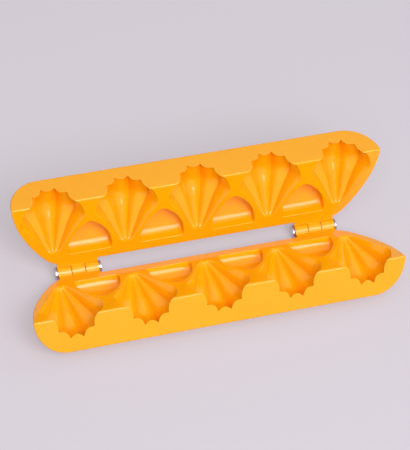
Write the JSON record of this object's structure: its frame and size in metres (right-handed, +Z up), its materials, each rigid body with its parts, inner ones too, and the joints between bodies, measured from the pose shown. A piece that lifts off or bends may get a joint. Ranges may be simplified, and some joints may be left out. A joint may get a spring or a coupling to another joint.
{
  "type": "modak mold",
  "caption": "Hinged book-type mold with a row of fluted modak cavities in two glossy plastic halves, standing open.",
  "frame": {"origin": "bottom centre of the bounding box of the open mold, on the surface it lies on", "axes": "+X along the row of cavities, -Y towards the lower half's base, +Z up"},
  "size_m": [0.2196, 0.0886, 0.057],
  "materials": {
    "moulded_plastic": "glossy moulded yellow-orange plastic",
    "pin_steel": "plain drawn steel wire",
    "cap_chrome": "bright plated steel"
  },
  "bodies": {
    "lower_side": {"lower_half": "moulded_plastic", "left_hinge_pin": "pin_steel", "right_hinge_pin": "pin_steel", "left_outer_pin_cap": "cap_chrome", "left_inner_pin_cap": "cap_chrome", "right_outer_pin_cap": "cap_chrome", "right_inner_pin_cap": "cap_chrome"},
    "upper_side": {"upper_half": "moulded_plastic"}
  },
  "joints": [
    {"name": "mold_hinge", "type": "hinge", "parent": "lower_side", "child": "upper_side", "pos_m": [0, 0.01337, 0.0043], "axis": [-1, 0, 0], "range_deg": [-73.1, 54]}
  ]
}
